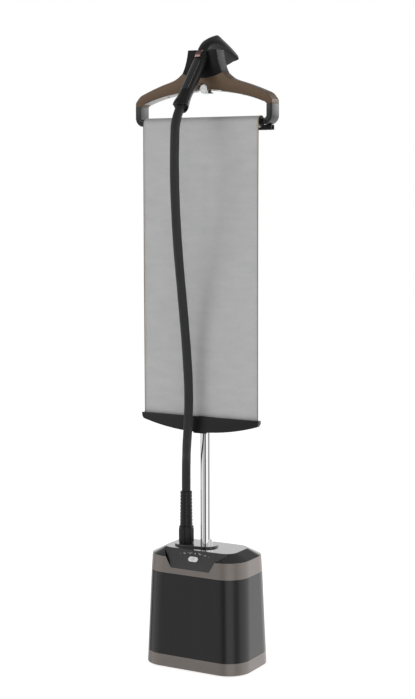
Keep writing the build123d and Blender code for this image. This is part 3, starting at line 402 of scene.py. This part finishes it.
# strands that run round the hose one way, and the metres along it from one of them to the next
BRAID_STRANDS, BRAID_PITCH = 12, 0.011
MESH_PITCH = 0.0022                        # of the screen's threads

FINISH = {
    "charcoal_gloss": body_gloss(),
    "taupe_metallic": moulded("taupe_metallic", (0.182, 0.160, 0.146), 0.40, 0.07, 18, 2600, 0.00002, 0.07,
                              metal=0.35, coat=0.25, coat_rough=0.2, dust=0.05),
    "deck_black": moulded("deck_black", (0.010, 0.010, 0.011), 0.07, 0.2, 25, 900, 0.000004, 0.03,
                          coat=1.0, coat_rough=0.03, dust=0.02),
    "panel_grey": moulded("panel_grey", (0.020, 0.020, 0.0215), 0.34, 0.10, 40, 1800, 0.00002, 0.06, coat=0.2,
                          coat_rough=0.2),
    "button_white": moulded("button_white", (0.86, 0.86, 0.84), 0.30, 0.03, 60, 1500, 0.00001, 0.05,
                            coat=0.3),
    "black_plastic": moulded("black_plastic", (0.0085, 0.0085, 0.0090), 0.36, 0.15, 35, 1500, 0.00004, 0.07,
                             specular=0.38, dust=0.015),
    "chrome_tube": polished_tube("chrome_tube", (0.93, 0.93, 0.94), 0.045),
    "hanger_brown": hanger_satin(),
    "liner_grey": moulded("liner_grey", (0.42, 0.415, 0.40), 0.55, 0.06, 45, 1200, 0.00005, 0.08),
    "clear_pad": cloudy_plastic("clear_pad", (0.92, 0.93, 0.94), 0.28, 0.35),
    "copper_trim": brushed("copper_trim", (0.36, 0.235, 0.22), 0.36, (2400, 120, 120)),
    "cast_alu": moulded("cast_alu", (0.52, 0.53, 0.54), 0.48, 0.12, 60, 900, 0.00012, 0.10, metal=1.0),
    "alu_tube": brushed("alu_tube", (0.66, 0.66, 0.67), 0.30, (4, 700, 700)),
    "sole_steel": brushed("sole_steel", (0.58, 0.58, 0.60), 0.24, (3, 600, 600)),
    "soft_rubber": moulded("soft_rubber", (0.022, 0.022, 0.022), 0.72, 0.2, 70, 1100, 0.00010, 0.10,
                           specular=0.3),
    "hose_cover": braid_cloth("hose_cover", (0.0100, 0.0100, 0.0106), BRAID_STRANDS, BRAID_PITCH),
    "screen_mesh": screen_cloth("screen_mesh", (0.495, 0.495, 0.50), MESH_PITCH, 0.87),
    "roll_mesh": screen_cloth("roll_mesh", (0.42, 0.42, 0.425), MESH_PITCH, 1.0),
    "tank_smoke": cloudy_plastic("tank_smoke", (0.16, 0.16, 0.17), 0.10, 0.55),
    "board_green": moulded("board_green", (0.015, 0.10, 0.045), 0.35, 0.25, 300, 2400, 0.00003, 0.08,
                           coat=0.4),
    "pump_cream": moulded("pump_cream", (0.62, 0.58, 0.46), 0.50, 0.08, 60, 1000, 0.00006, 0.08),
    "zinc_steel": moulded("zinc_steel", (0.60, 0.60, 0.62), 0.32, 0.18, 220, 1500, 0.00004, 0.10,
                          metal=1.0),
    "light_window": moulded("light_window", (0.55, 0.57, 0.60), 0.30, 0.08, 150, 1200, 0.00001, 0.04,
                            coat=0.5),
    "cradle_matt": moulded("cradle_matt", (0.0060, 0.0060, 0.0064), 0.46, 0.15, 35, 1300, 0.00005, 0.07,
                           specular=0.16),
    "seam_grey": moulded("seam_grey", (0.16, 0.16, 0.165), 0.30, 0.10, 60, 1500, 0.00002, 0.06, coat=0.3),
    # pale grey for the painted highlights along the edges of the handle's gloss strip
    "mark_grey": moulded("mark_grey", (0.30, 0.30, 0.31), 0.45, 0.05, 200, 2000, 0.00001, 0.05),
    "hem_tan": moulded("hem_tan", (0.19, 0.135, 0.075), 0.75, 0.25, 220, 2400, 0.00015, 0.08,
                       stretch=(1, 1, 3), specular=0.3),
}

for node in nodes.values():
    for packed in node.material_slots:
        packed.material = FINISH[packed.material.name.removeprefix(PACKED)]


# ------------------------------------------------------------------ mesh helpers
def piece(name, bm, finish, body=None, smooth=40):
    """A mesh piece from bm, with smooth faces and edges sharper than smooth degrees kept crisp."""
    bmesh.ops.recalc_face_normals(bm, faces=bm.faces)
    for face in bm.faces:
        face.smooth = True
    for edge in bm.edges:
        if len(edge.link_faces) == 2 and edge.calc_face_angle(0) > math.radians(smooth):
            edge.smooth = False
    mesh = bpy.data.meshes.new(name)
    bm.to_mesh(mesh)
    bm.free()
    for each in [finish] if isinstance(finish, str) else finish:
        mesh.materials.append(FINISH[each])
    made = bpy.data.objects.new(name, mesh)
    scene.collection.objects.link(made)
    if body:
        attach(made, body)
    return made


def line_through(points):
    """Points along the smooth line that has these control points."""
    curve = bpy.data.curves.new("line", "CURVE")
    curve.dimensions = "3D"
    spline = curve.splines.new("NURBS")
    spline.points.add(len(points) - 1)
    for control, point in zip(spline.points, points):
        control.co = (*point, 1)
    spline.order_u = 3
    spline.use_endpoint_u = True
    curve.resolution_u = 12
    holder = bpy.data.objects.new("line", curve)
    mesh = bpy.data.meshes.new_from_object(holder)
    line = [vertex.co.copy() for vertex in mesh.vertices]
    bpy.data.objects.remove(holder)
    bpy.data.curves.remove(curve)
    bpy.data.meshes.remove(mesh)
    return line


def evenly(line, step):
    """The same line, with points a step apart."""
    out, left = [line[0].copy()], step
    for a, b in zip(line, line[1:]):
        span = (b - a).length
        while span >= left > 0:
            out.append(a.lerp(b, left / span))
            left += step
        left -= span
    return out + [line[-1].copy()]


def sweep(bm, line, radius, around, uv_layer=None):
    """A closed tube along line. radius(i, angle) gives its radius.
    Its uv runs round it from 0 to 1, and along it in metres."""
    last = len(line) - 1
    tangents = [(line[min(i + 1, last)] - line[max(i - 1, 0)]).normalized() for i in range(len(line))]
    side = tangents[0].orthogonal().normalized()
    rings, reach, lengths = [], 0.0, []
    for i, (point, tangent) in enumerate(zip(line, tangents)):
        side = (side - tangent * side.dot(tangent)).normalized()
        other = tangent.cross(side)
        ring = []
        for k in range(around):
            angle = 2 * math.pi * k / around
            outwards = side * math.cos(angle) + other * math.sin(angle)
            ring.append(bm.verts.new(point + outwards * radius(i, angle)))
        rings.append(ring)
        reach += (point - line[i - 1]).length if i else 0.0
        lengths.append(reach)
    for i in range(len(rings) - 1):
        for k in range(around):
            n = (k + 1) % around
            face = bm.faces.new((rings[i][k], rings[i][n], rings[i + 1][n], rings[i + 1][k]))
            if uv_layer:
                places = ((k, i), (k + 1, i), (k + 1, i + 1), (k, i + 1))
                for loop, (u, v) in zip(face.loops, places):
                    loop[uv_layer].uv = (u / around, lengths[v])
    bm.faces.new(list(reversed(rings[0])))
    bm.faces.new(rings[-1])


def rounded(node, width, finish=None, segments=3, angle=32, merge=2e-5):
    """The node's own shape with its hard edges rounded, standing for the node."""
    source = nodes[node]
    bm = bmesh.new()
    bm.from_mesh(source.data)
    bmesh.ops.remove_doubles(bm, verts=bm.verts, dist=merge)
    bmesh.ops.dissolve_limit(bm, angle_limit=math.radians(0.6), verts=bm.verts, edges=bm.edges)
    hard = [e for e in bm.edges if len(e.link_faces) == 2 and e.calc_face_angle(0) > math.radians(angle)]
    bmesh.ops.bevel(bm, geom=hard, offset=width, segments=segments, profile=0.5, affect="EDGES",
                    clamp_overlap=True)
    bmesh.ops.triangulate(bm, faces=[f for f in bm.faces if len(f.verts) > 4])
    slot = source.material_slots[0].material.name
    made = piece(node + "_rounded", bm, finish or slot, body_of(source)[0], smooth=28)
    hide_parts(node)
    return made


# ------------------------------------------------------------------ steam hose
# control points of the hose, from its strain relief to inside the cuff of the handle, in metres
HOSE_ROUTE = [
    (-0.062, -0.008, 0.487), (-0.062, -0.008, 0.536), (-0.053, -0.022, 0.583), (-0.030, -0.059, 0.626),
    (-0.0185, -0.071, 0.684), (-0.0165, -0.068, 0.775), (-0.0215, -0.073, 0.905), (-0.0225, -0.094, 1.045),
    (-0.016, -0.127, 1.175), (-0.006, -0.156, 1.290), (0.001, -0.172, 1.385), (0.0035, -0.174, 1.462),
    (0.0, -0.16322, 1.52442), (0.0, -0.11990, 1.57514),
]
HOSE_RADIUS = 0.0125
HOSE_STEP = 0.0022                         # along the sleeve, from ring to ring of its mesh

hose_line = evenly(line_through(HOSE_ROUTE), HOSE_STEP)
bm = bmesh.new()
hose_uv = bm.loops.layers.uv.new("sleeve")


def hose_skin(i, angle):
    """The braid's relief: two families of strands round the hose, over a slightly uneven sleeve."""
    along = i * HOSE_STEP
    left = math.sin(BRAID_STRANDS * angle + 2 * math.pi * along / BRAID_PITCH)
    right = math.sin(-BRAID_STRANDS * angle + 2 * math.pi * along / BRAID_PITCH)
    slack = 0.00010 * math.sin(37 * along) + 0.00006 * math.sin(91 * along + 2 * angle)
    return HOSE_RADIUS - 0.0004 + 0.00028 * max(abs(left), abs(right)) + slack


sweep(bm, hose_line, hose_skin, 48, hose_uv)
hose = piece("hose_sleeve", bm, "hose_cover", smooth=80)
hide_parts("steam_hose")
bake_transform(hose, "root", "upper_mast", start=(-0.062, -0.008, 0.50), end=(0.0, -0.163, 1.52))


# ------------------------------------------------------------------ press screen
SCREEN_HALF = 0.180
SCREEN_BACK_Y, SCREEN_T = -0.0340, 0.0008
ROLLER_Y, ROLLER_Z = -0.0181, 1.5145
SCREEN_FOOT = 0.7092
WRAP = math.radians(205)                   # how far the cloth lies round the roll
WRAP_RADIUS = ROLLER_Y - SCREEN_BACK_Y
HEM_WIDTH = 0.0055
DROP_STEPS, WRAP_STEPS = 150, 24

# the cloth from the side: y, z and the way out of it, up the drop and then round the roll
drop = [SCREEN_FOOT + (ROLLER_Z - SCREEN_FOOT) * i / DROP_STEPS for i in range(DROP_STEPS + 1)]
profile = [(SCREEN_BACK_Y, z, (-1.0, 0.0)) for z in drop]
for i in range(1, WRAP_STEPS + 1):
    turn_by = WRAP * i / WRAP_STEPS
    out = (-math.cos(turn_by), math.sin(turn_by))
    profile.append((ROLLER_Y + WRAP_RADIUS * out[0], ROLLER_Z + WRAP_RADIUS * out[1], out))


def billow(x, z):
    """How far the cloth stands off its plane, in metres: it curls at its edges and ripples between them."""
    held = math.sin(math.pi * min(max((z - SCREEN_FOOT) / (ROLLER_Z - SCREEN_FOOT), 0), 1))
    curl = 0.0012 * (abs(x) / SCREEN_HALF) ** 6
    ripple = 0.0004 * math.sin(21 * x + 3.0 * z) + 0.0003 * math.sin(9 * z + 40 * x)
    return held * (curl + ripple)


def strip(x_low, x_high, columns, thickness, lift, name, finish, slot):
    """A band of the screen from x_low to x_high, with its own thickness, that starts lift off the back."""
    bm = bmesh.new()
    layers = []
    for depth in (lift, lift + thickness):
        rows = []
        for y, z, out in profile:
            row = []
            for k in range(columns + 1):
                x = x_low + (x_high - x_low) * k / columns
                off = depth + billow(x, z)
                row.append(bm.verts.new((x, y + out[0] * off, z + out[1] * off)))
            rows.append(row)
        layers.append(rows)
    last_row = len(profile) - 1
    for i in range(last_row):
        for k in range(columns):
            for rows in layers:
                bm.faces.new((rows[i][k], rows[i][k + 1], rows[i + 1][k + 1], rows[i + 1][k]))
        for k in (0, columns):
            a, b = layers
            bm.faces.new((a[i][k], a[i + 1][k], b[i + 1][k], b[i][k]))
    for i in (0, last_row):
        for k in range(columns):
            a, b = layers
            bm.faces.new((a[i][k], a[i][k + 1], b[i][k + 1], b[i][k]))
    made = piece(name, bm, finish, smooth=50)
    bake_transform(made, "upper_mast", "screen_bar", start=(0, SCREEN_BACK_Y, ROLLER_Z),
             end=(0, SCREEN_BACK_Y, SCREEN_FOOT))
    return made


cloth = strip(-SCREEN_HALF, SCREEN_HALF, 36, SCREEN_T * 0.6, 0.0, "screen_cloth", "screen_mesh",
              "screen_mesh")
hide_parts("screen_fabric")
for side, sign in (("left", -1), ("right", 1)):
    edge = sorted((sign * SCREEN_HALF, sign * (SCREEN_HALF - HEM_WIDTH)))
    strip(*edge, 2, 0.0004, SCREEN_T * 0.62, "screen_hem_" + side, "roll_mesh", "screen_mesh")
    edge = sorted((sign * (SCREEN_HALF + 0.0009), sign * (SCREEN_HALF - 0.0012)))
    strip(*edge, 2, 0.0009, 0.0002, "screen_binding_" + side, "hem_tan", "screen_mesh")

# the wound part of the screen, as a spiral round the roller's tube
SPIRAL_START, SPIRAL_END, SPIRAL_TURNS = 0.0132, 0.0149, 2.25
SPIRAL_FROM = math.radians(200)            # where the spiral begins, round the roller's axis
LAYER_T = 0.00055
TURN_STEPS, ACROSS = 132, 28
bm = bmesh.new()
rims = []
for face_side in (0, 1):
    grid = []
    for i in range(TURN_STEPS + 1):
        share = i / TURN_STEPS
        angle = 2 * math.pi * SPIRAL_TURNS * share + SPIRAL_FROM
        row = []
        for k in range(ACROSS + 1):
            x = (2 * k / ACROSS - 1) * (SCREEN_HALF - 0.0006 - 0.0008 * share)
            slack = 0.00012 * math.sin(3 * angle + 20 * x) * share
            radius = SPIRAL_START + (SPIRAL_END - SPIRAL_START) * share + slack - LAYER_T * (1 - face_side)
            y, z = ROLLER_Y + radius * math.cos(angle), ROLLER_Z + radius * math.sin(angle)
            row.append(bm.verts.new((x, y, z)))
        grid.append(row)
    rims.append(grid)
inner, outer = rims
for i in range(TURN_STEPS):
    for k in range(ACROSS):
        for grid in rims:
            bm.faces.new((grid[i][k], grid[i][k + 1], grid[i + 1][k + 1], grid[i + 1][k]))
    for k in (0, ACROSS):
        bm.faces.new((inner[i][k], inner[i + 1][k], outer[i + 1][k], outer[i][k]))
for i in (0, TURN_STEPS):
    for k in range(ACROSS):
        bm.faces.new((inner[i][k], inner[i][k + 1], outer[i][k + 1], outer[i][k]))
roll = piece("screen_roll_cloth", bm, "roll_mesh", "roller", smooth=50)
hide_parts("screen_roll")

# ------------------------------------------------------------------ mouldings with rounded edges
for node, width, finish in (
    ("hanger_bar", 0.0022, None), ("end_arm_left", 0.0030, None), ("end_arm_right", 0.0030, None),
    ("cradle", 0.0014, "cradle_matt"), ("bottom_bar", 0.0022, None), ("bar_tongue", 0.0010, None),
    ("cross_beam", 0.0012, None), ("tee_bracket", 0.0016, None), ("clamp_collar", 0.0012, None),
    ("clamp_lever", 0.0008, None), ("mast_clip", 0.0009, None), ("accessory_hook", 0.0010, None),
    ("hanger_liner", 0.0004, None), ("hose_connector", 0.0007, None),
):
    rounded(node, width, finish)


# ------------------------------------------------------------------ small fittings and marks
SLAB_ROOT = 0.0002                         # how deep a slab is let into what it stands on


def slab(name, corners_2d, place, across, up, out, depth, finish, body, edge=0.0003):
    """A thin raised shape: its outline in metres on a plane through place, standing depth proud along out."""
    bm = bmesh.new()
    across, up, out = Vector(across), Vector(up), Vector(out)
    base = [bm.verts.new(Vector(place) + across * a + up * b - out * SLAB_ROOT) for a, b in corners_2d]
    face = bm.faces.new(base)
    lifted = bmesh.ops.extrude_face_region(bm, geom=[face])["geom"]
    raised = [v for v in lifted if isinstance(v, bmesh.types.BMVert)]
    bmesh.ops.translate(bm, verts=raised, vec=out * (depth + SLAB_ROOT))
    top = [f for f in lifted if isinstance(f, bmesh.types.BMFace)]
    bmesh.ops.inset_region(bm, faces=top, thickness=edge, depth=-edge * 0.6)
    return piece(name, bm, finish, body, smooth=35)


def pill(half_width, half_height, steps=8):
    """Outline of a bar with round ends, or of a disc when both halves are equal."""
    reach = half_width - half_height
    turn_of = [math.pi * (i / steps - 0.5) for i in range(steps + 1)]
    right = [(reach + half_height * math.cos(t), half_height * math.sin(t)) for t in turn_of]
    return right + [(-a, -b) for a, b in right]


def ring_arc(radius, width, low, high, steps=20):
    """Outline of part of a ring, from low to high degrees."""
    turns_at = [math.radians(low + (high - low) * i / steps) for i in range(steps + 1)]
    outer_r, inner_r = radius + width / 2, radius - width / 2
    outer_line = [(outer_r * math.cos(t), outer_r * math.sin(t)) for t in turns_at]
    inner_line = [(inner_r * math.cos(t), inner_r * math.sin(t)) for t in reversed(turns_at)]
    return outer_line + inner_line


# the slope of the control panel, and the middle of its button
PANEL_LOW, PANEL_HIGH = Vector((0, -0.0972, 0.2866)), Vector((0, -0.0595, 0.3341))
PANEL_UP = (PANEL_HIGH - PANEL_LOW).normalized()
PANEL_OUT = Vector((0, -PANEL_UP.z, PANEL_UP.y))
ACROSS_X = (1, 0, 0)
low_corner, high_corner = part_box("power_button")
button_middle = (Vector(low_corner) + Vector(high_corner)) / 2
button_top = max((Vector(v.co) for v in nodes["power_button"].data.vertices),
                 key=lambda v: v.dot(PANEL_OUT))
button_face = button_middle + PANEL_OUT * (button_top - button_middle).dot(PANEL_OUT)
MARK_R, MARK_WIDTH, BAR_HALF = 0.0031, 0.0008, 0.0018
bar_corners = [(a - MARK_WIDTH / 2, b + MARK_R) for a, b in (
    (0, -BAR_HALF), (MARK_WIDTH, -BAR_HALF), (MARK_WIDTH, BAR_HALF), (0, BAR_HALF))]
for name, outline in (("ring", ring_arc(MARK_R, MARK_WIDTH, 125, 415)), ("bar", bar_corners)):
    slab("button_mark_" + name, outline, button_face, ACROSS_X, PANEL_UP, PANEL_OUT, 0.00012, "mark_grey",
         "power_button", edge=0.0001)

# printed row of plain level marks over the button: dots and dashes by turns, in three sizes, on an arc
panel_top = max((Vector(v.co) for v in nodes["control_panel"].data.vertices),
                key=lambda v: v.dot(PANEL_OUT))
panel_lift = (panel_top - PANEL_LOW).dot(PANEL_OUT)
MARKS, MARK_REACH = 9, 0.046
MARK_RISE, MARK_SAG = 0.0525, 0.0075       # up the panel: the middle mark, and how far the end ones sag
for index in range(MARKS):
    share = 2 * index / (MARKS - 1) - 1
    spot = (PANEL_LOW + PANEL_UP * (MARK_RISE - MARK_SAG * share * share) + PANEL_OUT * panel_lift
            + Vector((share * MARK_REACH, 0, 0)))
    size = 0.0009 + 0.00012 * (index % 3)
    slab(f"level_mark_{index}", pill(size * (2.4 if index % 2 else 1.0), size), spot, ACROSS_X, PANEL_UP,
         PANEL_OUT, 0.00010, "mark_grey", "root", edge=0.0001)

# small screws that hold the liners under the hanger's arms
SCREW_X, SCREW_Z, SCREW_R, ARM_SLOPE = 0.118, 1.5899, 0.0026, 0.17
for side, sign in (("left", -1), ("right", 1)):
    slab("liner_screw_" + side, pill(SCREW_R, SCREW_R, 10), (sign * SCREW_X, 0, SCREW_Z),
         (1, 0, ARM_SLOPE * -sign), (0, 1, 0), (0, 0, -1), 0.0022, "black_plastic",
         "upper_mast")

# painted highlights: pale lines on the two sides of the handle's gloss strip, standing for the light that its
# edges catch
HANDLE_MIDDLE = Vector((0, -0.0645, 1.640))
HANDLE_LEAN = math.radians(40.5)
HANDLE_ALONG = Vector((0, math.sin(HANDLE_LEAN), math.cos(HANDLE_LEAN)))
HANDLE_FRONT = Vector((0, -math.cos(HANDLE_LEAN), math.sin(HANDLE_LEAN)))
HANDLE_HALF_X, HANDLE_HALF_Y = 0.0179, 0.0188


def on_handle_skin(along, sideways):
    """Point on the handle's front skin."""
    forward = HANDLE_HALF_Y * math.sqrt(1 - (sideways / HANDLE_HALF_X) ** 2)
    return HANDLE_MIDDLE + HANDLE_ALONG * along + HANDLE_FRONT * forward + Vector((sideways, 0, 0))


HIGHLIGHT_SIDE, HIGHLIGHT_R = 0.0102, 0.0006
HIGHLIGHT_START, HIGHLIGHT_STEP, HIGHLIGHT_POINTS = -0.060, 0.002, 52


def highlight_radius(i, angle):
    """The radius of the painted highlight line, which tapers over the last few points at both ends."""
    return HIGHLIGHT_R * min(1, 0.35 + 0.2 * min(i, HIGHLIGHT_POINTS - 1 - i))


for side, sign in (("left", -1), ("right", 1)):
    bm = bmesh.new()
    along_highlight = [HIGHLIGHT_START + HIGHLIGHT_STEP * i for i in range(HIGHLIGHT_POINTS)]
    sweep(bm, [on_handle_skin(along, sign * HIGHLIGHT_SIDE) for along in along_highlight], highlight_radius, 10)
    piece("handle_seam_" + side, bm, "seam_grey", "steam_head", smooth=60)
